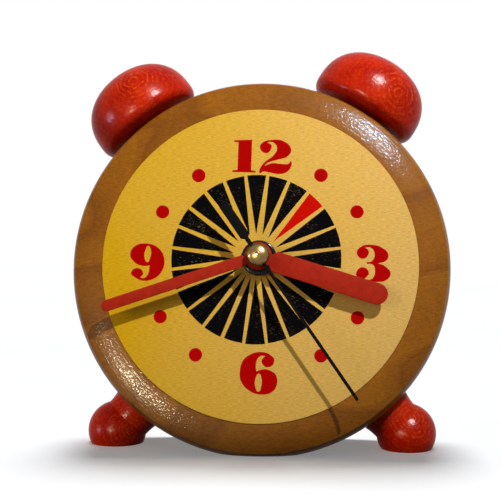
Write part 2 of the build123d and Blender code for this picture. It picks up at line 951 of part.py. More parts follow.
# Motor: stator around the magnet, coil across its two legs
stator_bore = magnet_radius + magnet_air_gap
leg_length = stator_reach + stator_leg / 2
with BuildPart() as stator:
    with BuildSketch(at(*rotor_place, stator_z)):
        Rectangle(2 * stator_half_span + stator_leg, stator_leg)
        for side in (-1, 1):
            with Locations((side * stator_half_span, (leg_length - stator_leg / 2) / 2)):
                Rectangle(stator_leg, leg_length + stator_leg / 2)
        Circle(stator_bore + stator_band)
        with PolarLocations(stator_bore + stator_band, 2, start_angle=90):
            Circle(stator_notch, mode=Mode.SUBTRACT)
        Circle(stator_bore, mode=Mode.SUBTRACT)
    extrude(amount=stator_thickness)
stator.part.label = "stator"
export_step(stator.part, "parts/stator.step")

core_width = coil_ends[1] - coil_ends[0] + stator_leg
with BuildPart() as coil_core:
    extrude(
        block(coil_x, coil_y, core_z, core_width, coil_core_width),
        amount=coil_core_thickness,
    )
coil_core.part.label = "coil_core"
export_step(coil_core.part, "parts/coil_core.step")

bobbin_half = stator_half_span - stator_leg / 2 - bobbin_end_gap
core_middle = core_z + coil_core_thickness / 2
with BuildPart() as coil_bobbin:
    with BuildSketch(across(coil_x - bobbin_half, coil_y, core_middle)):
        Circle(bobbin_radius)
    extrude(amount=2 * bobbin_half)
    for flange_x in (coil_x - bobbin_half, coil_x + bobbin_half - bobbin_flange):
        with BuildSketch(across(flange_x, coil_y, core_middle)):
            Circle(bobbin_flange_radius)
        extrude(amount=bobbin_flange)
    with BuildSketch(across(coil_x - bobbin_half, coil_y, core_middle)):
        Rectangle(coil_core_width + 2 * coil_core_fit, coil_core_thickness + 2 * coil_core_fit)
    extrude(amount=2 * bobbin_half, mode=Mode.SUBTRACT)
coil_bobbin.part.label = "coil_bobbin"
export_step(coil_bobbin.part, "parts/coil_bobbin.step")

winding_half = bobbin_half - bobbin_flange
with BuildPart() as coil_winding:
    with BuildSketch(across(coil_x - winding_half, coil_y, core_middle)):
        Circle(winding_radius)
        Circle(bobbin_radius, mode=Mode.SUBTRACT)
    extrude(amount=2 * winding_half)
coil_winding.part.label = "coil_winding"
export_step(coil_winding.part, "parts/coil_winding.step")


# Electronics
with BuildPart() as circuit_board:
    extrude(block(board_x, board_y, board_z, board_width, board_height), amount=board_thickness)
circuit_board.part.label = "circuit_board"
export_step(circuit_board.part, "parts/circuit_board.step")

with BuildPart() as chip_cap:
    extrude(ring(chip_x, board_y, board_front, chip_radius), amount=chip_height)
    fillet(chip_cap.faces().sort_by(spindle_axis)[-1].edges(), chip_round)
chip_cap.part.label = "chip_cap"
export_step(chip_cap.part, "parts/chip_cap.step")

crystal_start = across(crystal_x - crystal_length / 2, crystal_y, board_front + crystal_radius)
with BuildPart() as quartz_crystal:
    with BuildSketch(crystal_start):
        Circle(crystal_radius)
    extrude(amount=crystal_length)
quartz_crystal.part.label = "quartz_crystal"
export_step(quartz_crystal.part, "parts/quartz_crystal.step")


# Cell with its raised pole at the right
with BuildPart() as battery_cell:
    with BuildSketch(across(-cell_length / 2, cell_y, cell_z)):
        Circle(cell_radius)
    extrude(amount=cell_length - cell_nub_length)
    fillet(battery_cell.edges().filter_by(GeomType.CIRCLE), cell_edge_round)
    with BuildSketch(across(cell_length / 2 - cell_nub_length, cell_y, cell_z)):
        Circle(cell_nub_radius)
    extrude(amount=cell_nub_length)
battery_cell.part.label = "battery_cell"
export_step(battery_cell.part, "parts/battery_cell.step")


# Contacts: a bowed leaf at each end of the cell and a lead to the circuit board
def contact_leaf(side):
    """Flat strip on the end wall with a bow towards the cell."""
    wall_x = side * (inner_half - wall_gap)
    inner_x = wall_x - side * contact_thickness
    bow_x = side * (cell_length / 2 + contact_gap)
    low = cell_y - contact_height / 2
    high = cell_y + contact_height / 2
    with BuildSketch(at(0, 0, lead_z)) as outline:
        with BuildLine():
            Polyline((inner_x, high), (wall_x, high), (wall_x, low), (inner_x, low))
            ThreePointArc((inner_x, low), (bow_x, cell_y), (inner_x, high))
        make_face()
        with BuildLine():
            ThreePointArc((wall_x, low), (bow_x + side * contact_thickness, cell_y), (wall_x, high))
            Line((wall_x, high), (wall_x, low))
        make_face(mode=Mode.SUBTRACT)
    return outline.sketch


lead_outer = inner_half - wall_gap
lead_inner = lead_outer - contact_thickness
with BuildPart() as contact_minus:
    extrude(contact_leaf(-1), amount=contact_depth)
    extrude(strip(-lead_outer, -lead_inner, cell_y, lead_top, lead_z), amount=lead_depth)
contact_minus.part.label = "contact_minus"
export_step(contact_minus.part, "parts/contact_minus.step")

lead_bottom = wall_gap - chamber_drop
lead_x = plus_lead_shift - lead_outer
with BuildPart() as contact_plus:
    extrude(contact_leaf(1), amount=contact_depth)
    extrude(
        strip(lead_inner, lead_outer, cell_y, lead_bottom + contact_thickness, lead_z),
        amount=lead_depth,
    )
    extrude(
        strip(lead_x, lead_outer, lead_bottom, lead_bottom + contact_thickness, lead_z),
        amount=lead_depth,
    )
    extrude(
        strip(lead_x, lead_x + contact_thickness, lead_bottom, lead_top, lead_z),
        amount=lead_depth,
    )
contact_plus.part.label = "contact_plus"
export_step(contact_plus.part, "parts/contact_plus.step")
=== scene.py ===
import json
import random
from math import atan2, cos, degrees, pi, radians, sin, sqrt

import bmesh
import bpy
from mathutils import Matrix, Vector

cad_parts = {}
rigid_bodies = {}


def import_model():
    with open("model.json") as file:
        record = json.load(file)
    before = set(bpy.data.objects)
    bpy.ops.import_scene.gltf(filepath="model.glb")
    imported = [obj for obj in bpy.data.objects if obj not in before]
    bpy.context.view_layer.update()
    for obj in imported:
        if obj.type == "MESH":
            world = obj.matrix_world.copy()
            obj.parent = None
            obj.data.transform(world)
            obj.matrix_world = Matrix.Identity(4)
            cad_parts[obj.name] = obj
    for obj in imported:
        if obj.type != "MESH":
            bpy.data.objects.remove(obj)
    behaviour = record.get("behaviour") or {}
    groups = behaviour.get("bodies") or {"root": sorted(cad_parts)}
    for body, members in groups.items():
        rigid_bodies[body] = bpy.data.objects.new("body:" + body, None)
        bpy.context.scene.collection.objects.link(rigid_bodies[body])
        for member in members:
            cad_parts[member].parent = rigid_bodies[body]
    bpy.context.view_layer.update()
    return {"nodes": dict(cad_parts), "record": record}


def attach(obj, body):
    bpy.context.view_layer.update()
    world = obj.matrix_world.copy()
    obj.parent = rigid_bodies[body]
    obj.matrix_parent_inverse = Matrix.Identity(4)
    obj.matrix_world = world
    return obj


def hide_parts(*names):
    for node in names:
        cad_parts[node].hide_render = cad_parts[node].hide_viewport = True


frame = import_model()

# Sizes of the clock are written in millimetres and turned into metres for the frame
mm = 0.001
draws = random.Random(11)

# Case and dial
spindle_rise = 1.9
case_radius = 76.6
case_depth = 44.0
ring_step = 0.4
face_edge_inset = 2.0
face_edge_drop = 3.4
face_crown = 0.55
face_roll = 0.45
side_start_drop = 10.0
back_edge_round = 2.0
hollow_radius = 48.0
web = 5.0
wood_edge = 0.3
dial_radius = 63.0
dial_thickness = 3.4
dial_gap = 0.1
dial_edge = 0.25
bush_hole_radius = 4.3

# Bells and feet; angles are clock angles in degrees from straight up
seat_depth = 0.8
bell_angles = {"bell_left": -37.2, "bell_right": 31.7}
bell_setback = 23.0
bell_radius = 23.5
bell_rim_height = 7.4
bell_rim_round = 6.0
bell_dome_height = 19.8
bell_squareness = 2.32
rim_squareness = 3.0
bell_neck_radius = 9.5
neck_cove = 1.0
foot_angles = {"foot_left": -137.7, "foot_right": 138.1}
foot_setbacks = {"foot_left": 30.5, "foot_right": 25.0}
foot_rises = {"foot_left": 5.3, "foot_right": 6.3}
foot_radius = 12.1
foot_waist_radius = 10.2
foot_flare_radius = 11.0
foot_flare_height = 0.6
sole_edge = 0.5

# Nut and cap
nut_radius = 7.0
nut_bore = 4.02
nut_height = 2.6
nut_foot_round = 0.2
nut_edge_round = 0.7
nut_bore_round = 0.35
cap_radius = 4.5
cap_height = 3.3
cap_rim = 0.5
cap_edge = 0.1
dimple_radius = 0.7
dimple_depth = 0.2

# Hands; heights are over the dial
hand_thickness = 0.7
hand_edge = 0.12
hand_root = 4.4
hub_disc_radius = 5.3
hour_sizes = dict(clock_angle=107.4, height=5.0, length=52.5, width=8.3, shoulder=2.0, bore=2.51)
minute_sizes = dict(clock_angle=251.4, height=7.6, length=64.5, width=4.45, shoulder=1.0, bore=1.76)
seconds_angle = 145.4
seconds_height = 10.1
seconds_thickness = 0.4
seconds_edge = 0.06
seconds_bore = 0.51
seconds_disc = 3.0
needle_length = 67.3
needle_half = 0.65
neck_length = 8.0
neck_half = 0.875
tail_start = 9.0
tail_end = 24.0
tail_half = 2.0

# Printing on the dial
paint = 0.03
burst_centre = (-1.3, 1.8)
burst_radius = 33.9
burst_rays = 24
red_ray = 3
ray_width = 12.8
ray_tip_radius = 8.7
ray_tip_shift = 1.2
dot_radius = 2.7
dot_places = [(24.6, 36.0), (38.9, 21.1)]
dot_shift = (-0.14, -0.38)

# How uneven the printing is, to either side
tip_spread = 0.3
ray_spread = 0.25
rim_spread = 0.12
dot_spread = 0.1

# Fineness of turned meshes, in steps round their axis
case_steps = 192
knob_steps = 96
cap_steps = 64

# Edges sharper than these angles stay sharp in the shading or get a small rounding
sharp_angle = 32
soft_angle = 40

# Points closer than these are one point, in millimetres from an axis and in metres in a mesh
axis_reach = 1e-6
weld_reach = 1e-7


# Frames
def joint_of(name):
    """Joint of the record by its name."""
    return next(joint for joint in frame["record"]["behaviour"]["joints"] if joint["name"] == name)


def frame_matrix(origin, x_axis, z_axis):
    """Matrix of a frame with the given origin, X axis and Z axis."""
    y_axis = z_axis.cross(x_axis)
    matrix = Matrix((x_axis, y_axis, z_axis)).transposed().to_4x4()
    matrix.translation = origin
    return matrix


spindle = joint_of("seconds_spin")
sideways = Vector((1, 0, 0))
outward = -Vector(spindle["axis"]).normalized()
upward = outward.cross(sideways)
spindle_point = Vector(spindle["pos_m"])
dial_middle = spindle_point - upward * spindle_rise * mm
dial_frame = frame_matrix(dial_middle, sideways, outward)
spindle_frame = frame_matrix(spindle_point, sideways, outward)


def side_frame(clock_angle, setback):
    """Frame on the side of the case: Z straight out of it, X towards the front."""
    turn = radians(clock_angle)
    away = sideways * sin(turn) + upward * cos(turn)
    origin = dial_middle - outward * setback * mm + away * case_radius * mm
    return frame_matrix(origin, outward, away)


def hand_frame(clock_angle, height):
    """Frame over the dial whose Y axis points along a hand."""
    turn = radians(clock_angle)
    across = sideways * cos(turn) - upward * sin(turn)
    return frame_matrix(spindle_point + outward * height * mm, across, outward)


# Outlines
def arc(centre, radius, start, end, steps):
    """Points along an arc, angles in degrees from the first axis."""
    points = []
    for step in range(steps + 1):
        angle = radians(start + (end - start) * step / steps)
        points.append((centre[0] + radius * cos(angle), centre[1] + radius * sin(angle)))
    return points


def circle(centre, radius, count=36):
    """Evenly spaced points on a circle."""
    return arc(centre, radius, 0, 360 - 360 / count, count - 1)


def squared_arc(width, height, squareness, steps):
    """Quarter of a squarish oval, from its top to its widest point."""
    points = []
    for step in range(steps + 1):
        angle = pi / 2 * step / steps
        across = width * sin(angle) ** (2 / squareness)
        rise = height * max(cos(angle), 0.0) ** (2 / squareness)
        points.append((across, rise))
    return points


def bowed(start, end, rise, steps):
    """Points along a shallow arc between two points, bulging to the left of the way."""
    (x0, y0), (x1, y1) = start, end
    points = []
    for step in range(steps + 1):
        share = step / steps
        bulge = 4 * rise * share * (1 - share) / sqrt((x1 - x0) ** 2 + (y1 - y0) ** 2)
        x = x0 + (x1 - x0) * share - (y1 - y0) * bulge
        y = y0 + (y1 - y0) * share + (x1 - x0) * bulge
        points.append((x, y))
    return points


def rounded(points, radii, steps=5):
    """Outline whose corners are rounded; the radii are given by corner number."""
    result = []
    for index, corner in enumerate(points):
        radius = radii.get(index, 0)
        if not radius:
            result.append(corner)
            continue
        here = Vector(corner)
        before = (Vector(points[index - 1]) - here).normalized()
        after = (Vector(points[(index + 1) % len(points)]) - here).normalized()
        half = before.angle(after) / 2
        reach = radius / sin(half) * cos(half)
        first = here + before * reach
        last = here + after * reach
        for step in range(steps + 1):
            share = step / steps
            point = first * (1 - share) ** 2 + here * 2 * share * (1 - share) + last * share**2
            result.append(tuple(point))
    return result


# Meshes
def lathe_mesh(name, profile, steps, closed=False):
    """Mesh of a profile of (radius, height) points turned round the Z axis."""
    work = bmesh.new()
    rings = []
    for radius, height in profile:
        if radius < axis_reach:
            rings.append([work.verts.new((0, 0, height * mm))])
            continue
        ring = []
        for step in range(steps):
            angle = 2 * pi * step / steps
            corner = (radius * cos(angle) * mm, radius * sin(angle) * mm, height * mm)
            ring.append(work.verts.new(corner))
        rings.append(ring)
    pairs = list(zip(rings, rings[1:]))
    if closed:
        pairs.append((rings[-1], rings[0]))
    for lower, upper in pairs:
        for step in range(steps):
            following = (step + 1) % steps
            corners = [lower[step % len(lower)], lower[following % len(lower)]]
            corners += [upper[following % len(upper)], upper[step % len(upper)]]
            distinct = list(dict.fromkeys(corners))
            if len(distinct) > 2:
                work.faces.new(distinct)
    bmesh.ops.recalc_face_normals(work, faces=work.faces)
    mesh = bpy.data.meshes.new(name)
    work.to_mesh(mesh)
    work.free()
    return mesh


def cut_by_table(mesh, matrix):
    """Takes away what lies below the table and closes the cut with a flat face."""
    work = bmesh.new()
    work.from_mesh(mesh)
    local = matrix.inverted()
    origin = local @ Vector((0, 0, 0))
    normal = (local.to_3x3() @ Vector((0, 0, 1))).normalized()
    geometry = work.verts[:] + work.edges[:] + work.faces[:]
    cut = bmesh.ops.bisect_plane(
        work, geom=geometry, plane_co=origin, plane_no=normal, clear_inner=True
    )
    edges = [item for item in cut["geom_cut"] if isinstance(item, bmesh.types.BMEdge)]
    bmesh.ops.contextual_create(work, geom=edges)
    bmesh.ops.recalc_face_normals(work, faces=work.faces)
    work.to_mesh(mesh)
    work.free()


def straight_loop(curve, points):
    """Closed loop of straight lines through (x, y) points."""
    spline = curve.splines.new("POLY")
    spline.points.add(len(points) - 1)
    for knot, (x, y) in zip(spline.points, points):
        knot.co = (x * mm, y * mm, 0, 1)
    spline.use_cyclic_u = True


def curved_loop(curve, points, corners):
    """Closed smooth loop through (x, y) points, sharp at the corners given by number."""
    spline = curve.splines.new("BEZIER")
    spline.bezier_points.add(len(points) - 1)
    for index, (x, y) in enumerate(points):
        knot = spline.bezier_points[index]
        knot.co = (x * mm, y * mm, 0)
        kind = "VECTOR" if index in corners else "AUTO"
        knot.handle_left_type = kind
        knot.handle_right_type = kind
    spline.use_cyclic_u = True


def plate_curve(name, thickness, edge=0.0):
    """Curve that fills its loops to a flat plate with rounded edges."""
    curve = bpy.data.curves.new(name, "CURVE")
    curve.dimensions = "2D"
    curve.fill_mode = "BOTH"
    curve.extrude = (thickness / 2 - edge) * mm
    curve.bevel_depth = edge * mm
    curve.bevel_resolution = 2
    curve.offset = -edge * mm
    curve.resolution_u = 8
    return curve


def mesh_of_curve(curve, rise):
    """Mesh of a curve, lifted by a rise, in place of the curve."""
    name = curve.name
    carrier = bpy.data.objects.new(name, curve)
    bpy.context.collection.objects.link(carrier)
    bpy.context.view_layer.update()
    solid = carrier.evaluated_get(bpy.context.evaluated_depsgraph_get())
    mesh = bpy.data.meshes.new_from_object(solid)
    mesh.name = name
    bpy.data.objects.remove(carrier)
    bpy.data.curves.remove(curve)
    mesh.transform(Matrix.Translation((0, 0, rise * mm)))
    work = bmesh.new()
    work.from_mesh(mesh)
    bmesh.ops.remove_doubles(work, verts=work.verts, dist=weld_reach)
    bmesh.ops.recalc_face_normals(work, faces=work.faces)
    work.to_mesh(mesh)
    work.free()
    return mesh


def plate_mesh(name, loops, thickness, edge, bottom=0.0):
    """Mesh of a flat piece bounded by loops of straight lines."""
    curve = plate_curve(name, thickness, edge)
    for points in loops:
        straight_loop(curve, points)
    return mesh_of_curve(curve, bottom + thickness / 2)


# Pieces
replaced = set()


def finished(name, mesh, matrix, slot, body, nodes=()):
    """Object of a mesh, placed, riding on its body and standing for its CAD nodes."""
    mesh.shade_smooth()
    mesh.set_sharp_from_angle(angle=radians(sharp_angle))
    piece = bpy.data.objects.new(name, mesh)
    bpy.context.collection.objects.link(piece)
    piece.matrix_world = matrix
    bpy.context.view_layer.update()
    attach(piece, body)
    if nodes:
        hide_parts(*nodes)
        replaced.update(nodes)
    piece.data.materials.append(materials[slot])
    return piece


def soften(piece, width, segments=2):
    """Small rounding along the sharp edges of a piece."""
    bevel = piece.modifiers.new("edges", "BEVEL")
    bevel.width = width * mm
    bevel.segments = segments
    bevel.limit_method = "ANGLE"
    bevel.angle_limit = radians(soft_angle)
    bevel.harden_normals = True


# Node graphs
def srgb(red, green, blue):
    """Linear colour of a screen colour given from 0 to 255."""
    channels = []
    for value in (red, green, blue):
        share = value / 255
        low = share <= 0.04045
        channels.append(share / 12.92 if low else ((share + 0.055) / 1.055) ** 2.4)
    return (*channels, 1.0)


def seen_directly(tree):
    """Socket that is 1 where camera, gloss or glass look, and 0 for light that things receive."""
    path = tree.nodes.new("ShaderNodeLightPath")
    seen = path.outputs["Is Camera Ray"]
    for kind in ("Is Glossy Ray", "Is Transmission Ray"):
        larger = tree.nodes.new("ShaderNodeMath")
        larger.operation = "MAXIMUM"
        tree.links.new(seen, larger.inputs[0])
        tree.links.new(path.outputs[kind], larger.inputs[1])
        seen = larger.outputs[0]
    return seen


class Graph:
    """Nodes of one material. Lengths in its textures are millimetres."""

    def __init__(self, name, **settings):
        self.material = bpy.data.materials.new(name)
        self.material.use_nodes = True
        self.nodes = self.material.node_tree.nodes
        self.links = self.material.node_tree.links
        self.nodes.clear()
        self.shader = self.nodes.new("ShaderNodeBsdfPrincipled")
        output = self.nodes.new("ShaderNodeOutputMaterial")
        self.links.new(self.shader.outputs["BSDF"], output.inputs["Surface"])
        for socket, value in settings.items():
            self.set(socket.replace("_", " "), value)

    def set(self, socket, value):
        """Links or writes a value to one of the shader's sockets."""
        self.plug(value, self.shader.inputs[socket])

    def plug(self, value, socket):
        """Links a socket, or writes a plain value to it."""
        if isinstance(value, bpy.types.NodeSocket):
            self.links.new(value, socket)
        else:
            socket.default_value = value

    def place(self):
        """Place on the piece in millimetres, in the piece's own frame."""
        coordinates = self.nodes.new("ShaderNodeTexCoord").outputs["Object"]
        return self.stretched(coordinates, (1 / mm, 1 / mm, 1 / mm))

    def stretched(self, vector, factors):
        """Vector with each part multiplied by its factor."""
        node = self.nodes.new("ShaderNodeVectorMath")
        node.operation = "MULTIPLY"
        self.plug(vector, node.inputs[0])
        node.inputs[1].default_value = factors
        return node.outputs[0]

    def bent(self, vector, amount, size):
        """Vector pushed about by noise with features of a size."""
        noise = self.nodes.new("ShaderNodeTexNoise")
        noise.inputs["Scale"].default_value = 1 / size
        noise.inputs["Detail"].default_value = 2
        self.plug(vector, noise.inputs["Vector"])
        push = self.nodes.new("ShaderNodeVectorMath")
        push.operation = "MULTIPLY_ADD"
        self.links.new(noise.outputs["Color"], push.inputs[0])
        push.inputs[1].default_value = (amount, amount, amount)
        self.plug(vector, push.inputs[2])
        return push.outputs[0]

    def parts(self, vector):
        """The x, y and z of a vector."""
        node = self.nodes.new("ShaderNodeSeparateXYZ")
        self.plug(vector, node.inputs[0])
        return tuple(node.outputs)

    def noise(self, vector, detail=2.0, roughness=0.5, scale=1.0):
        """Noise from 0 to 1; at a scale of 1 its features are about one unit wide."""
        node = self.nodes.new("ShaderNodeTexNoise")
        node.inputs["Scale"].default_value = scale
        node.inputs["Detail"].default_value = detail
        node.inputs["Roughness"].default_value = roughness
        self.plug(vector, node.inputs["Vector"])
        return node.outputs[0]

    def math(self, operation, first, second=0.0, third=0.0):
        """Result of a number operation."""
        node = self.nodes.new("ShaderNodeMath")
        node.operation = operation
        for value, socket in zip((first, second, third), node.inputs):
            self.plug(value, socket)
        return node.outputs[0]

    def ramp(self, value, *stops):
        """Colour ramp through (place, colour) stops; a plain number is a grey."""
        node = self.nodes.new("ShaderNodeValToRGB")
        self.plug(value, node.inputs[0])
        elements = node.color_ramp.elements
        while len(elements) < len(stops):
            elements.new(1.0)
        for element, (place, colour) in zip(elements, stops):
            element.position = place
            element.color = colour if isinstance(colour, tuple) else (colour, colour, colour, 1)
        return node.outputs[0]

    def mix(self, share, first, second, blend="MIX"):
        """Colour between two colours."""
        node = self.nodes.new("ShaderNodeMix")
        node.data_type = "RGBA"
        node.blend_type = blend
        self.plug(share, node.inputs[0])
        self.plug(first, node.inputs[6])
        self.plug(second, node.inputs[7])
        return node.outputs[2]

    def bump(self, height, depth, strength=1.0, under=None):
        """Normal bent by a height; depth in millimetres."""
        node = self.nodes.new("ShaderNodeBump")
        node.inputs["Strength"].default_value = strength
        node.inputs["Distance"].default_value = depth * mm
        self.plug(height, node.inputs["Height"])
        if under is not None:
            self.links.new(under, node.inputs["Normal"])
        return node.outputs[0]


def pith_distance(graph, first, second, pith):
    """Distance from a pith, from two parts of a place."""
    off_first = graph.math("SUBTRACT", first, pith[0])
    off_second = graph.math("SUBTRACT", second, pith[1])
    second_square = graph.math("MULTIPLY", off_second, off_second)
    return graph.math("SQRT", graph.math("MULTIPLY_ADD", off_first, off_first, second_square))


# Wood
def case_wood():
    """Brown stained wood with a soft figure and fine pores, under varnish."""
    graph = Graph("case_wood", Specular_IOR_Level=0.03, Coat_Weight=0.35, Coat_IOR=1.3)
    graph.set("Coat Roughness", 0.16)
    place = graph.place()
    x, y = graph.parts(place)[:2]
    figure_bands = 6.0
    fine_bands = 60.0
    growth = graph.noise(graph.stretched(place, (0.010, 0.022, 0.022)), 1.0, 0.3)
    figure = graph.ramp(
        graph.math("FRACT", graph.math("MULTIPLY", growth, figure_bands)),
        (0.0, srgb(154, 94, 9)),
        (0.6, srgb(148, 88, 8)),
        (0.88, srgb(134, 77, 6)),
        (1.0, srgb(154, 94, 9)),
    )
    lines = graph.math("FRACT", graph.math("MULTIPLY", growth, fine_bands))
    fibres = graph.noise(graph.stretched(place, (0.4, 1.3, 1.3)), 5.0, 0.85)
    pores = graph.noise(graph.stretched(place, (0.9, 1.7, 1.7)), 2.0, 0.6)
    colour = graph.mix(0.6, figure, graph.ramp(lines, (0.0, 1.06), (1.0, 0.90)), "MULTIPLY")
    colour = graph.mix(1.0, colour, graph.ramp(fibres, (0.34, 0.72), (0.66, 1.24)), "MULTIPLY")
    colour = graph.mix(0.7, colour, graph.ramp(pores, (0.28, 0.45), (0.42, 1.0)), "MULTIPLY")
    # Painted shade: the lowest part of the case is darker, standing in for the shade on the ring
    # where it turns down
    height = graph.math("MULTIPLY_ADD", y, 0.01, 1.0)
    painted_low_shade = graph.ramp(height, (0.24, 0.5), (0.46, 1.0))
    graph.set("Base Color", graph.mix(1.0, colour, painted_low_shade, "MULTIPLY"))
    graph.set("Roughness", graph.ramp(fibres, (0.3, 0.6), (0.7, 0.45)))
    graph.set("Normal", graph.bump(fibres, 0.05, 0.8, graph.bump(pores, 0.07, 0.8)))
    # The varnish follows the marks of turning and is a little uneven
    radius = pith_distance(graph, x, y, (0.0, 0.0))
    turning = graph.noise(graph.math("MULTIPLY", radius, 1.1), 1.0, 0.5)
    ripple = graph.noise(place, 1.2, 0.5)
    graph.set("Coat Normal", graph.bump(ripple, 0.15, 0.9, graph.bump(turning, 0.09, 0.9)))
    return graph.material


def dial_colour(graph, place):
    """Colour and fibres of the varnished plywood, with painted light that makes it yellower to the
    left and paler to the right.
    """
    x = graph.parts(place)[0]
    # Painted light: from deep yellow on the left to pale on the right, standing in for warm light
    # from the left and the lamp's sheen on the right, in slow clouds
    tone_clouds = graph.noise(place, 1.0, 0.5, 0.012)
    across = graph.math("MULTIPLY_ADD", x, 0.006, 0.25)
    across = graph.math("ADD", across, graph.math("MULTIPLY", tone_clouds, 0.5))
    ground = graph.ramp(across, (0.15, srgb(222, 174, 24)), (0.85, srgb(228, 186, 104)))
    fibres = graph.noise(graph.stretched(place, (0.5, 4.0, 1.0)), 4.0, 0.7)
    dashes = graph.noise(graph.stretched(place, (0.35, 2.8, 1.0)), 3.0, 0.75)
    colour = graph.mix(0.9, ground, graph.ramp(fibres, (0.30, 0.66), (0.65, 1.16)), "MULTIPLY")
    marks = graph.ramp(dashes, (0.28, 0.5), (0.38, 1.0))
    return graph.mix(0.9, colour, marks, "MULTIPLY"), fibres


def dial_wood():
    """Plywood with short level fibres under satin varnish."""
    graph = Graph("dial_wood", Specular_IOR_Level=0.04)
    colour, fibres = dial_colour(graph, graph.place())
    graph.set("Base Color", colour)
    graph.set("Roughness", graph.ramp(fibres, (0.3, 0.55), (0.7, 0.42)))
    graph.set("Normal", graph.bump(fibres, 0.02, 0.6))
    return graph.material


def dial_print(name, ink, worn_low, worn_high):
    """Printed colour with chips and scratches that show the wood below."""
    graph = Graph(name, Specular_IOR_Level=0.015)
    place = graph.place()
    wood, fibres = dial_colour(graph, place)
    scratches = graph.noise(graph.stretched(place, (0.55, 3.4, 1.0)), 3.0, 0.7)
    patches = graph.noise(graph.bent(place, 3.0, 5.0), 3.0, 0.6, 0.10)
    wear = graph.math("MULTIPLY_ADD", patches, 0.25, graph.math("MULTIPLY", scratches, 0.9))
    worn = graph.ramp(wear, (worn_low, 0.0), (worn_high, 0.5))
    bare = graph.mix(0.5, wood, srgb(196, 188, 170))
    tone = graph.mix(0.6, ink, graph.ramp(fibres, (0.3, 0.6), (0.7, 1.25)), "MULTIPLY")
    graph.set("Base Color", graph.mix(worn, tone, bare))
    graph.set("Roughness", graph.ramp(fibres, (0.3, 0.55), (0.7, 0.4)))
    graph.set("Normal", graph.bump(fibres, 0.015, 0.6))
    return graph.material


def red_wood(name, pith, spacing):
    """Red stained wood under glossy varnish, with broken orange rings round a pith."""
    graph = Graph(name, Specular_IOR_Level=0.01, Coat_Weight=0.25, Coat_IOR=1.28)
    graph.set("Coat Roughness", 0.2)
    place = graph.place()
    bent = graph.bent(place, 2.6, 4.0)
    y, z = graph.parts(bent)[1:]
    distance = pith_distance(graph, z, y, pith)
    faded_distance = 24.0
    glow = graph.ramp(graph.noise(place, 2.0, 0.5, 0.10), (0.3, 0.0), (0.7, 1.0))
    ground = graph.mix(glow, srgb(170, 10, 1), srgb(204, 38, 2))
    flecks = graph.noise(graph.stretched(bent, (0.8, 0.8, 0.8)), 4.0, 0.8)
    layer = graph.math("FRACT", graph.math("DIVIDE", distance, spacing))
    lines = graph.ramp(layer, (0.0, 0.2), (0.5, 0.0), (0.8, 1.0), (1.0, 0.2))
    far = graph.math("DIVIDE", distance, faded_distance)
    near = graph.ramp(far, (0.0, 1.0), (0.25, 0.7), (0.6, 0.25), (1.0, 0.15))
    broken = graph.ramp(flecks, (0.44, 0.0), (0.60, 1.0))
    rings = graph.math("MULTIPLY", graph.math("MULTIPLY", lines, near), broken)
    spots = graph.ramp(flecks, (0.54, 0.0), (0.72, 0.6))
    colour = graph.mix(graph.math("MAXIMUM", rings, spots), ground, srgb(220, 98, 14))
    dark = graph.ramp(flecks, (0.28, 0.62), (0.45, 1.0))
    graph.set("Base Color", graph.mix(0.9, colour, dark, "MULTIPLY"))
    graph.set("Roughness", graph.ramp(flecks, (0.3, 0.36), (0.7, 0.28)))
    graph.set("Normal", graph.bump(flecks, 0.02, 0.5))
    ripple = graph.noise(place, 2.0, 0.6)
    graph.set("Coat Normal", graph.bump(ripple, 0.11, 0.9))
    return graph.material


def raw_wood():
    """Plain beech with short dark flecks."""
    graph = Graph("beech", Specular_IOR_Level=0.3)
    place = graph.place()
    flecks = graph.noise(graph.stretched(place, (2.0, 2.0, 0.4)), 3.0, 0.6)
    colour = graph.ramp(flecks, (0.3, srgb(176, 134, 86)), (0.6, srgb(222, 190, 142)))
    graph.set("Base Color", colour)
    graph.set("Roughness", graph.ramp(flecks, (0.3, 0.75), (0.7, 0.6)))
    graph.set("Normal", graph.bump(flecks, 0.03, 0.6))
    return graph.material


# Enamel, plastic, metal and foil
def enamel(name, dark, light, roughness, coat):
    """Sprayed enamel with a slight orange-peel surface."""
    graph = Graph(name, Specular_IOR_Level=0.05, Coat_Weight=coat, Coat_IOR=1.3)
    graph.set("Coat Roughness", 0.12)
    place = graph.place()
    cloud = graph.noise(place, 3.0, 0.6, 0.35)
    peel = graph.noise(place, 1.0, 0.5, 2.4)
    graph.set("Base Color", graph.ramp(cloud, (0.3, dark), (0.7, light)))
    graph.set("Roughness", graph.ramp(peel, (0.3, roughness + 0.06), (0.7, roughness - 0.04)))
    graph.set("Normal", graph.bump(peel, 0.012, 0.35))
    return graph.material


def plastic(name, dark, light, grain, roughness, gloss=0.4):
    """Moulded plastic with an even fine grain."""
    graph = Graph(name, Specular_IOR_Level=gloss)
    place = graph.place()
    spots = graph.noise(place, 2.0, 0.6, 1 / grain)
    cloud = graph.noise(place, 2.0, 0.5, 0.06)
    graph.set("Base Color", graph.ramp(cloud, (0.3, dark), (0.7, light)))
    graph.set("Roughness", graph.ramp(spots, (0.3, roughness + 0.08), (0.7, roughness - 0.05)))
    graph.set("Normal", graph.bump(spots, 0.02, 0.4))
    return graph.material


def metal(name, dark, light, factors, roughness, depth=0.01):
    """Metal with fine marks, drawn out along the axes that have small factors."""
    graph = Graph(name, Metallic=1.0)
    place = graph.place()
    marks = graph.noise(graph.stretched(place, factors), 3.0, 0.6)
    graph.set("Base Color", graph.ramp(marks, (0.3, dark), (0.7, light)))
    graph.set("Roughness", graph.ramp(marks, (0.3, roughness + 0.08), (0.7, roughness - 0.06)))
    graph.set("Normal", graph.bump(marks, depth, 0.4))
    return graph.material


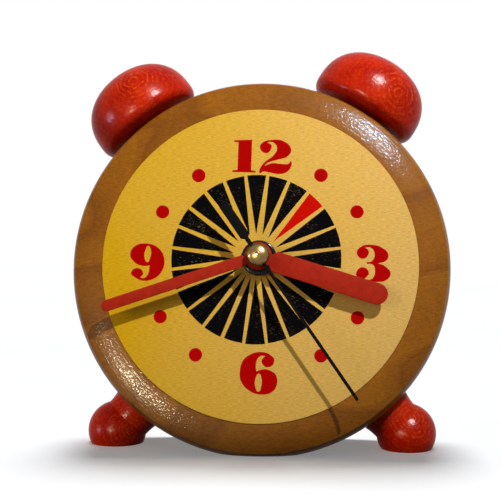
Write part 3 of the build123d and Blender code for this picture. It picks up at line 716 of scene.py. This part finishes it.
def cell_wrap():
    """Plain printed foil: a dark wrap with a pale band near the raised pole."""
    graph = Graph("cell_jacket", Specular_IOR_Level=0.5, Metallic=0.4)
    place = graph.place()
    x = graph.parts(place)[0]
    band = graph.ramp(graph.math("MULTIPLY_ADD", x, 0.02, 0.5), (0.86, 0.0), (0.865, 1.0))
    scuffs = graph.noise(graph.stretched(place, (0.3, 1.5, 1.5)), 3.0, 0.6)
    body = graph.ramp(scuffs, (0.3, srgb(52, 58, 70)), (0.7, srgb(84, 92, 106)))
    graph.set("Base Color", graph.mix(band, body, srgb(196, 168, 110)))
    graph.set("Roughness", graph.ramp(scuffs, (0.3, 0.40), (0.7, 0.26)))
    graph.set("Normal", graph.bump(scuffs, 0.01, 0.3))
    return graph.material


# Materials by slot
even_marks = (0.5, 0.5, 0.5)
cast_marks = (1.5, 1.5, 1.5)
drawn_marks = (3.0, 3.0, 0.2)
wound_marks = (9.0, 0.4, 0.4)
materials = {
    "case_wood": case_wood(),
    "dial_wood": dial_wood(),
    "red_wood": red_wood("red_wood", (10.0, -4.0), 1.6),
    "beech": raw_wood(),
    "housing_plastic": plastic("housing_plastic", srgb(26, 26, 28), srgb(38, 38, 40), 0.5, 0.5),
    "gear_plastic": plastic("gear_plastic", srgb(226, 223, 210), srgb(240, 238, 228), 0.8, 0.34),
    "knob_plastic": plastic("knob_plastic", srgb(40, 40, 42), srgb(54, 54, 56), 0.4, 0.45),
    "rubber": plastic("rubber", srgb(24, 24, 24), srgb(36, 36, 36), 0.6, 0.8, 0.2),
    "black_nut": enamel("black_nut", srgb(6, 6, 8), srgb(14, 14, 18), 0.2, 0.3),
    "red_enamel": enamel("red_enamel", srgb(160, 36, 20), srgb(176, 44, 26), 0.42, 0.0),
    "black_enamel": enamel("black_enamel", srgb(8, 7, 8), srgb(16, 14, 16), 0.4, 0.0),
    "cap_brass": metal("cap_brass", srgb(96, 78, 42), srgb(122, 102, 62), even_marks, 0.26),
    "magnet": metal("magnet", srgb(50, 50, 54), srgb(80, 80, 84), cast_marks, 0.5),
    "stator_steel": metal(
        "stator_steel", srgb(150, 150, 156), srgb(186, 186, 190), drawn_marks, 0.36
    ),
    "copper_wire": metal(
        "copper_wire", srgb(160, 76, 34), srgb(206, 116, 62), wound_marks, 0.3, 0.05
    ),
    "board": plastic("board", srgb(20, 74, 38), srgb(34, 98, 54), 0.5, 0.32),
    "crystal_can": metal("crystal_can", srgb(190, 190, 196), srgb(224, 224, 228), drawn_marks, 0.2),
    "chip_resin": plastic("chip_resin", srgb(12, 12, 12), srgb(24, 24, 24), 1.0, 0.2),
    "cell_jacket": cell_wrap(),
    "contact_brass": metal(
        "contact_brass", srgb(190, 182, 158), srgb(218, 210, 186), drawn_marks, 0.26
    ),
}
black_print = dial_print("black_print", srgb(8, 7, 9), 0.70, 0.78)
red_print = dial_print("red_print", srgb(182, 4, 3), 0.86, 0.94)
ray_print = dial_print("ray_print", srgb(208, 16, 4), 0.86, 0.94)


# Case
def case_profile():
    """Crowned ring, rolled edge, side, back, hollow and web, down to the seat of the dial."""
    face_edge = (case_radius - face_edge_inset, -face_edge_drop)
    side_start = (case_radius, -side_start_drop)
    seat_radius = dial_radius + dial_gap
    crown = bowed((seat_radius, -ring_step), face_edge, face_crown, 24)
    roll = bowed(face_edge, side_start, face_roll, 8)
    web_back = -(dial_thickness + web)
    back = [
        side_start,
        (case_radius, -case_depth),
        (hollow_radius, -case_depth),
        (hollow_radius, web_back),
        (bush_hole_radius, web_back),
        (bush_hole_radius, -dial_thickness),
        (seat_radius, -dial_thickness),
    ]
    edges = {1: back_edge_round, 2: wood_edge, 3: wood_edge}
    return crown + roll[1:] + rounded(back, edges)[1:]


case_mesh = lathe_mesh("wooden_case", case_profile(), case_steps, closed=True)
cut_by_table(case_mesh, dial_frame)
wooden_case = finished("wooden_case", case_mesh, dial_frame, "case_wood", "base", ["case_body"])

# Dial
dial_loops = [
    circle((0, 0), dial_radius, 180),
    circle((0, spindle_rise), bush_hole_radius),
]
dial_mesh = plate_mesh("plywood_dial", dial_loops, dial_thickness, dial_edge, -dial_thickness)
finished("plywood_dial", dial_mesh, dial_frame, "dial_wood", "base", ["dial_disc"])


# Printing
def printed(curve, ink):
    """Thin layer of paint on the dial."""
    piece = finished(curve.name, mesh_of_curve(curve, paint / 2), dial_frame, "dial_wood", "base")
    piece.data.materials[0] = ink


def uneven(value, spread):
    """Value drawn at random from a spread to either side of it."""
    return value + draws.uniform(-spread, spread)


def ray(index):
    """Narrow triangle of the sunburst with its base on the rim."""
    middle = 90 - index * 360 / burst_rays
    turn = radians(middle)
    tip = uneven(ray_tip_radius + ray_tip_shift * sin(turn), tip_spread)
    half = uneven(ray_width / 2, ray_spread)
    rim = uneven(burst_radius, rim_spread)
    base = arc(burst_centre, rim, middle - half, middle + half, 6)
    return [(burst_centre[0] + tip * cos(turn), burst_centre[1] + tip * sin(turn))] + base


def dots():
    """Round dots at the hours without a numeral."""
    loops = []
    for x, y in dot_places:
        for side in (-1, 1):
            for level in (-1, 1):
                middle = (side * x + dot_shift[0], level * y + dot_shift[1])
                loops.append(circle(middle, uneven(dot_radius, dot_spread)))
    return loops


rays = [ray(index) for index in range(burst_rays)]
black_rays = rays[:red_ray] + rays[red_ray + 1 :]
for name, loops, ink in (
    ("sunburst_red", [rays[red_ray]], ray_print),
    ("sunburst_black", black_rays, black_print),
    ("dots_red", dots(), red_print),
):
    layer = plate_curve(name, paint)
    for points in loops:
        straight_loop(layer, points)
    printed(layer, ink)

# Numerals: points of each stroke's outline, and which of them are corners
one = [
    (-10.6, 50.2), (-3.3, 50.4), (-3.6, 37.8), (-1.7, 37.4), (-1.9, 36.8), (-11.2, 37.1),
    (-11.1, 37.8), (-9.1, 37.9), (-8.8, 49.4), (-10.5, 49.5),
]
two = [
    (-0.1, 47.3), (1.0, 49.2), (4.7, 50.3), (9.4, 49.7), (12.5, 46.2), (11.1, 43.5), (6.8, 42.0),
    (3.1, 40.8), (1.7, 39.5), (4.8, 40.6), (9.1, 40.3), (11.4, 40.4), (12.2, 41.5), (12.6, 41.2),
    (12.3, 38.8), (10.6, 36.9), (7.5, 36.2), (3.5, 36.9), (1.2, 37.2), (0.3, 36.5), (-0.4, 36.8),
    (-0.1, 38.3), (1.8, 41.0), (5.3, 43.8), (6.8, 46.6), (6.0, 48.7), (4.2, 49.5), (2.8, 49.2),
    (4.3, 48.4), (4.6, 47.2), (2.4, 44.8),
]
three = [
    (38.6, 4.3), (40.3, 6.7), (44.0, 7.5), (48.4, 6.4), (51.0, 3.5), (50.0, 1.1), (47.0, 0.1),
    (49.7, -1.1), (51.8, -4.0), (50.0, -6.6), (46.0, -7.3), (41.6, -7.1), (38.9, -5.6),
    (38.3, -3.7), (40.9, -1.5), (43.3, -3.7), (41.6, -6.0), (43.4, -6.5), (45.1, -5.4),
    (45.7, -3.2), (45.2, -0.8), (43.8, -0.1), (42.6, -0.2), (42.4, 0.5), (44.0, 0.7), (45.4, 2.1),
    (45.3, 5.0), (44.0, 6.4), (41.9, 6.4), (43.1, 5.3), (43.3, 4.1), (41.0, 1.9),
]
six = [
    (0.8, -35.1), (4.6, -36.1), (6.3, -38.5), (3.9, -41.0), (1.3, -38.8), (2.7, -36.6),
    (0.8, -36.7), (-0.6, -38.4), (-0.9, -41.4), (-0.6, -42.7), (2.0, -41.8), (5.0, -42.4),
    (7.1, -44.3), (7.3, -47.7), (5.8, -50.3), (1.3, -51.6), (-3.6, -50.0), (-6.6, -46.7),
    (-7.2, -43.3), (-5.9, -38.4), (-2.9, -36.0),
]
six_slot = [
    (0.3, -43.5), (1.3, -45.1), (1.2, -48.5), (0.2, -50.5), (-1.0, -48.9), (-0.9, -45.1),
]
nine = [
    (-45.0, 7.8), (-40.3, 5.9), (-37.9, 1.4), (-39.1, -3.8), (-42.8, -6.7), (-46.5, -7.1),
    (-50.0, -5.5), (-51.2, -4.1), (-48.9, -2.1), (-46.3, -4.1), (-47.5, -5.9), (-45.9, -6.1),
    (-44.4, -4.6), (-43.8, -1.0), (-46.4, -1.2), (-49.8, 0.2), (-51.7, 3.5), (-49.7, 6.9),
]
nine_slot = [
    (-44.6, 6.9), (-43.5, 5.6), (-43.7, 1.9), (-44.7, 0.3), (-45.7, 1.4), (-45.5, 5.6),
]
numerals = {
    "numeral_12": [(one, range(10)), (two, (8, 12, 19, 20, 27))],
    "numeral_3": [(three, (6, 16, 22, 23, 28))],
    "numeral_6": [(six, (5, 9)), (six_slot, ())],
    "numeral_9": [(nine, (10, 13)), (nine_slot, ())],
}
for name, strokes in numerals.items():
    layer = plate_curve(name, paint)
    for points, corners in strokes:
        curved_loop(layer, points, corners)
    printed(layer, red_print)


# Bells, each with the pith of its wood at another place
def bell_profile():
    """Squat dome, rolled rim, flat underside and short neck."""
    dome = squared_arc(bell_radius, bell_dome_height, bell_squareness, 40)
    points = [(across, bell_rim_height + rise) for across, rise in dome]
    rim_centre = bell_radius - bell_rim_round
    rim = squared_arc(bell_rim_round, bell_rim_round, rim_squareness, 16)
    points += [(rim_centre + across, bell_rim_height - rise) for across, rise in rim[-2::-1]]
    under = bell_rim_height - bell_rim_round
    cove_centre = (bell_neck_radius + neck_cove, under - neck_cove)
    points += arc(cove_centre, neck_cove, 90, 180, 5)
    points += [(bell_neck_radius, -seat_depth), (0.0, -seat_depth)]
    return points


bell_figures = {"bell_left": ((17.1, 5.5), 2.0), "bell_right": ((14.2, 11.7), 2.2)}
bells = {}
for name, clock_angle in bell_angles.items():
    matrix = side_frame(clock_angle, bell_setback)
    mesh = lathe_mesh("turned_" + name, bell_profile(), knob_steps)
    bells[name] = finished("turned_" + name, mesh, matrix, "red_wood", "base", [name])
    bells[name].data.materials[0] = red_wood("red_wood_" + name, *bell_figures[name])


# Feet
def foot_profile(name, matrix):
    """Turned ball on a flared waist, its middle at its rise over the table."""
    away = matrix.to_3x3() @ Vector((0, 0, 1))
    height = (foot_rises[name] * mm - matrix.translation.z) / away.z / mm
    waist_angle = atan2(-sqrt(foot_radius**2 - foot_waist_radius**2), foot_waist_radius)
    ball = arc((0, height), foot_radius, 90, degrees(waist_angle), 36)
    ball[0] = (0.0, height + foot_radius)
    waist_height = ball[-1][1]
    waist = []
    steps = 6
    for step in range(1, steps + 1):
        share = step / steps
        flare = foot_waist_radius + (foot_flare_radius - foot_waist_radius) * share**2
        waist.append((flare, waist_height + (foot_flare_height - waist_height) * share))
    return ball + waist + [(foot_flare_radius, -seat_depth), (0.0, -seat_depth)]


feet = {}
for name, clock_angle in foot_angles.items():
    matrix = side_frame(clock_angle, foot_setbacks[name])
    mesh = lathe_mesh("turned_" + name, foot_profile(name, matrix), knob_steps)
    cut_by_table(mesh, matrix)
    feet[name] = finished("turned_" + name, mesh, matrix, "red_wood", "base", [name])
    soften(feet[name], sole_edge, 3)

# Nut
nut_profile = rounded(
    [(nut_bore, 0), (nut_radius, 0), (nut_radius, nut_height), (nut_bore, nut_height)],
    {1: nut_foot_round, 2: nut_edge_round, 3: nut_bore_round},
    8,
)
nut_mesh = lathe_mesh("round_nut", nut_profile, knob_steps, closed=True)
round_nut = finished("round_nut", nut_mesh, spindle_frame, "black_nut", "base", ["fixing_nut"])


# Hands
def bar_outline(length, width, shoulder):
    """Disc with a straight bar, chamfered shoulders and a round end."""
    half = width / 2
    meet = sqrt(hub_disc_radius**2 - (half - shoulder) ** 2)
    start = 90 - degrees(atan2(half - shoulder, meet))
    shoulder_height = max(hand_root, meet) + shoulder
    disc = arc((0, 0), hub_disc_radius, 180 - start, 360 + start, 60)
    tip = arc((0, length - half), half, 0, 180, 16)
    return disc + [(half, shoulder_height)] + tip + [(-half, shoulder_height)]


def bar_hand(name, node, body, clock_angle, height, length, width, shoulder, bore):
    """Flat enamelled hand."""
    loops = [bar_outline(length, width, shoulder), circle((0, 0), bore)]
    mesh = plate_mesh(name, loops, hand_thickness, hand_edge)
    finished(name, mesh, hand_frame(clock_angle, height), "red_enamel", body, [node])


def disc_angle(half):
    """Angle from across the seconds hand at which a bar of a half width meets its disc."""
    return 90 - degrees(atan2(half, sqrt(seconds_disc**2 - half**2)))


def seconds_outline():
    """Thin needle with a round end, disc, narrow neck and broad tail."""
    needle = disc_angle(needle_half)
    neck = disc_angle(neck_half)
    tail = [
        (-neck_half, -neck_length),
        (-tail_half, -tail_start),
        (-tail_half, -tail_end),
        (tail_half, -tail_end),
        (tail_half, -tail_start),
        (neck_half, -neck_length),
    ]
    tip = arc((0, needle_length - needle_half), needle_half, 0, 180, 10)
    left = arc((0, 0), seconds_disc, 180 - needle, 180 + neck, 16)
    right = arc((0, 0), seconds_disc, 360 - neck, 360 + needle, 16)
    return tip + left + tail + right


bar_hand("hour_pointer", "hour_hand", "hour", **hour_sizes)
bar_hand("minute_pointer", "minute_hand", "minute", **minute_sizes)
seconds_loops = [seconds_outline(), circle((0, 0), seconds_bore)]
seconds_mesh = plate_mesh("seconds_pointer", seconds_loops, seconds_thickness, seconds_edge)
seconds_frame = hand_frame(seconds_angle, seconds_height)
seconds_nodes = ["seconds_hand"]
finished("seconds_pointer", seconds_mesh, seconds_frame, "black_enamel", "seconds", seconds_nodes)


# Cap
def cap_profile():
    """Domed cap with a small dimple in its middle and a short straight rim."""
    dimple_steps = 5
    dome_steps = 24
    points = [(0.0, cap_height - dimple_depth)]
    for step in range(1, dimple_steps + 1):
        share = step / dimple_steps
        points.append((dimple_radius * share, cap_height - dimple_depth * (1 - share**2)))
    dimple_share = dimple_radius / cap_radius
    for step in range(1, dome_steps + 1):
        across = dimple_share + (1 - dimple_share) * step / dome_steps
        rise = (cap_height - cap_rim) * sqrt(max(1 - across**2, 0))
        points.append((cap_radius * across, cap_rim + rise))
    return points + [(cap_radius, cap_edge), (cap_radius - cap_edge, 0.0), (0.0, 0.0)]


cap_mesh = lathe_mesh("brass_cap", cap_profile(), cap_steps)
cap_frame = hand_frame(seconds_angle, seconds_height + seconds_thickness)
brass_cap = finished("brass_cap", cap_mesh, cap_frame, "cap_brass", "seconds", ["hub_cap"])

# The other pieces keep their CAD form and get materials and soft edges
slots = {row["node"]: row["material_slot"] for row in frame["record"]["subparts"]}
edge_widths = {"movement_front": 0.25, "movement_back": 0.2, "setting_knob": 0.25}
for node, piece in frame["nodes"].items():
    if node in replaced:
        continue
    piece.data.materials.clear()
    piece.data.materials.append(materials[slots[node]])
    if node in edge_widths:
        soften(piece, edge_widths[node])


# Table and backdrop; lengths here are metres
def table_top():
    """Matt table that is white to the camera, keeps the shadow and throws back little light."""
    graph = Graph("table_top", Specular_IOR_Level=0.0)
    tone = graph.noise(graph.place(), 2.0, 0.5, 0.004)
    seen = seen_directly(graph.material.node_tree)
    white = graph.ramp(tone, (0.3, (0.84, 0.87, 0.9, 1.0)), (0.7, (0.88, 0.91, 0.94, 1.0)))
    graph.set("Base Color", graph.mix(seen, (0.14, 0.14, 0.14, 1.0), white))
    graph.set("Roughness", 0.9)
    graph.set("Emission Color", (1, 1, 1, 1))
    graph.set("Emission Strength", graph.math("MULTIPLY", seen, 0.2))
    return graph.material


def studio(ambient):
    """World that is white to the camera and lights the clock from all sides by a small share."""
    world = bpy.data.worlds.new("studio")
    world.use_nodes = True
    tree = world.node_tree
    level = tree.nodes.new("ShaderNodeMapRange")
    level.inputs["To Min"].default_value = ambient
    level.inputs["To Max"].default_value = 1.0
    tree.links.new(seen_directly(tree), level.inputs["Value"])
    background = tree.nodes["Background"]
    background.inputs["Color"].default_value = (1, 1, 1, 1)
    tree.links.new(level.outputs[0], background.inputs["Strength"])
    return world


half_side = 6.0
floor_corners = [(-half_side, -half_side, 0), (half_side, -half_side, 0)]
floor_corners += [(half_side, half_side, 0), (-half_side, half_side, 0)]
floor_mesh = bpy.data.meshes.new("floor")
floor_mesh.from_pydata(floor_corners, [], [(0, 1, 2, 3)])
floor_mesh.materials.append(table_top())
floor = bpy.data.objects.new("floor", floor_mesh)
bpy.context.collection.objects.link(floor)
bpy.context.scene.world = studio(ambient=0.14)


# Lamps; lengths here are metres, and directions point from the clock to the lamp
def lamp_of(name, kind, power, colour, towards):
    """Lamp that shines from a direction."""
    data = bpy.data.lights.new(name, kind)
    data.energy = power
    data.color = colour
    lamp = bpy.data.objects.new(name, data)
    bpy.context.collection.objects.link(lamp)
    lamp.rotation_euler = Vector(towards).to_track_quat("Z", "Y").to_euler()
    return lamp


def off_dial(towards, distance):
    """Point at a distance from the middle of the dial."""
    return dial_middle + Vector(towards).normalized() * distance


def sun(name, towards, strength, spread, colour=(1, 1, 1)):
    """Distant lamp, the softer the wider its spread in degrees."""
    lamp = lamp_of(name, "SUN", strength, colour, towards)
    lamp.data.angle = radians(spread)
    return lamp


def window(name, towards, distance, size, brightness, colour):
    """Oblong lamp turned to the middle of the dial, with its brightness as gloss shows it."""
    place = off_dial(towards, distance)
    # Such a lamp needs four times its brightness in power for each unit of its area
    power = 4 * brightness * size[0] * size[1]
    lamp = lamp_of(name, "AREA", power, colour, place - dial_middle)
    lamp.location = place
    lamp.data.shape = "RECTANGLE"
    lamp.data.size, lamp.data.size_y = size
    return lamp


def spot(name, towards, distance, aim, beam, radius, power, colour):
    """Small lamp turned to a point, whose beam fades evenly from its middle to its edge."""
    place = off_dial(towards, distance)
    lamp = lamp_of(name, "SPOT", power, colour, place - Vector(aim))
    lamp.location = place
    lamp.data.spot_size = radians(beam)
    lamp.data.spot_blend = 1.0
    lamp.data.shadow_soft_size = radius
    return lamp


def only(name, *pieces):
    """Group of the pieces that a lamp lights, or that stand in its way."""
    group = bpy.data.collections.new(name)
    for piece in pieces:
        group.objects.link(piece)
    return group


def all_but(name, *pieces):
    """Group of everything but the pieces."""
    group = only(name, *pieces)
    for entry in group.collection_objects:
        entry.light_linking.link_state = "EXCLUDE"
    return group


# The table has a soft lamp of its own, and the clock's lamps leave it out
left_foot = feet["foot_left"]
table_alone = only("table_alone", floor)
all_but_table = all_but("all_but_table", floor)
ceiling = sun("ceiling", (0.0, 0.31, 0.95), strength=2.6, spread=22.0)
ceiling.light_linking.receiver_collection = table_alone

# The main lamp casts the hands' shadows
key_side = (0.374, -0.593, 0.704)
key_distance = 0.9
key = spot(
    "key",
    key_side,
    key_distance,
    aim=(-0.01, -0.011, 0.138),
    beam=26.5,
    radius=0.013,
    power=29.5,
    colour=(1.0, 0.97, 0.93),
)
key.light_linking.receiver_collection = all_but("out_of_key", floor, left_foot)

# Soft light from behind and from the left
back = sun("back", (-0.2, 0.95, 0.1), strength=1.2, spread=20.0)
left_side = (-0.7, -0.65, 0.2)
left_fill = sun("left_fill", left_side, strength=0.8, spread=30.0, colour=(1.0, 0.82, 0.62))
for lamp in (back, left_fill):
    lamp.visible_glossy = False
    lamp.light_linking.receiver_collection = all_but_table

# The left foot stands in the shade of the case and gets soft light from the front
foot_fill = sun("foot_fill", (-0.3, -0.8, 0.5), strength=0.55, spread=40.0)
foot_fill.visible_glossy = False
foot_fill.light_linking.receiver_collection = only("foot_alone", left_foot)

# Lamps that show only as gleams on bells, feet, nut and cap
window_distance = 1.2
knob_gleams = [
    window(
        "key_gleam",
        key_side,
        key_distance,
        size=(0.15, 0.15),
        brightness=330.0,
        colour=(1.0, 0.98, 1.0),
    ),
    window(
        "warm_window",
        (-0.35, -0.93, 0.08),
        window_distance,
        size=(0.26, 0.17),
        brightness=125.0,
        colour=(1.0, 0.76, 0.55),
    ),
    window(
        "cool_window",
        (-0.93, -0.33, -0.03),
        window_distance,
        size=(0.12, 0.12),
        brightness=140.0,
        colour=(0.8, 0.7, 1.0),
    ),
]

# Lamps that show only as gleams on the ring, high on the right and low on the left
case_gleams = [
    spot(
        "ring_gleam",
        (0.406, -0.525, 0.747),
        distance=2.0,
        aim=(0.05, -0.004, 0.126),
        beam=2.8,
        radius=0.10,
        power=2600.0,
        colour=(0.42, 0.8, 1.0),
    ),
    spot(
        "table_gleam",
        (-0.506, -0.84, -0.19),
        distance=1.0,
        aim=(-0.05, -0.02, 0.027),
        beam=8.0,
        radius=0.07,
        power=170.0,
        colour=(1.0, 0.9, 0.6),
    ),
]

# Gleams are shaded by the case and the knobs alone
knobs = only("knobs", *bells.values(), *feet.values(), brass_cap, round_nut)
case_alone = only("case_alone", wooden_case)
shading = only("shading", wooden_case, *knobs.objects)
for gleams, receivers in ((knob_gleams, knobs), (case_gleams, case_alone)):
    for lamp in gleams:
        lamp.visible_diffuse = False
        lamp.light_linking.receiver_collection = receivers
        lamp.light_linking.blocker_collection = shading

# Camera
camera_place = Vector((19.4552, -407.5334, 80.3346)) * mm
camera_right = Vector((0.998304, 0.058174, 0.002102))
camera_back = Vector((0.058176, -0.998306, -0.001010))
camera_data = bpy.data.cameras.new("camera")
camera_data.lens = 72.0
camera_data.sensor_width = 36.0
camera = bpy.data.objects.new("camera", camera_data)
bpy.context.collection.objects.link(camera)
camera.matrix_world = frame_matrix(camera_place, camera_right, camera_back)
bpy.context.scene.camera = camera
bpy.context.scene.view_settings.view_transform = "Standard"
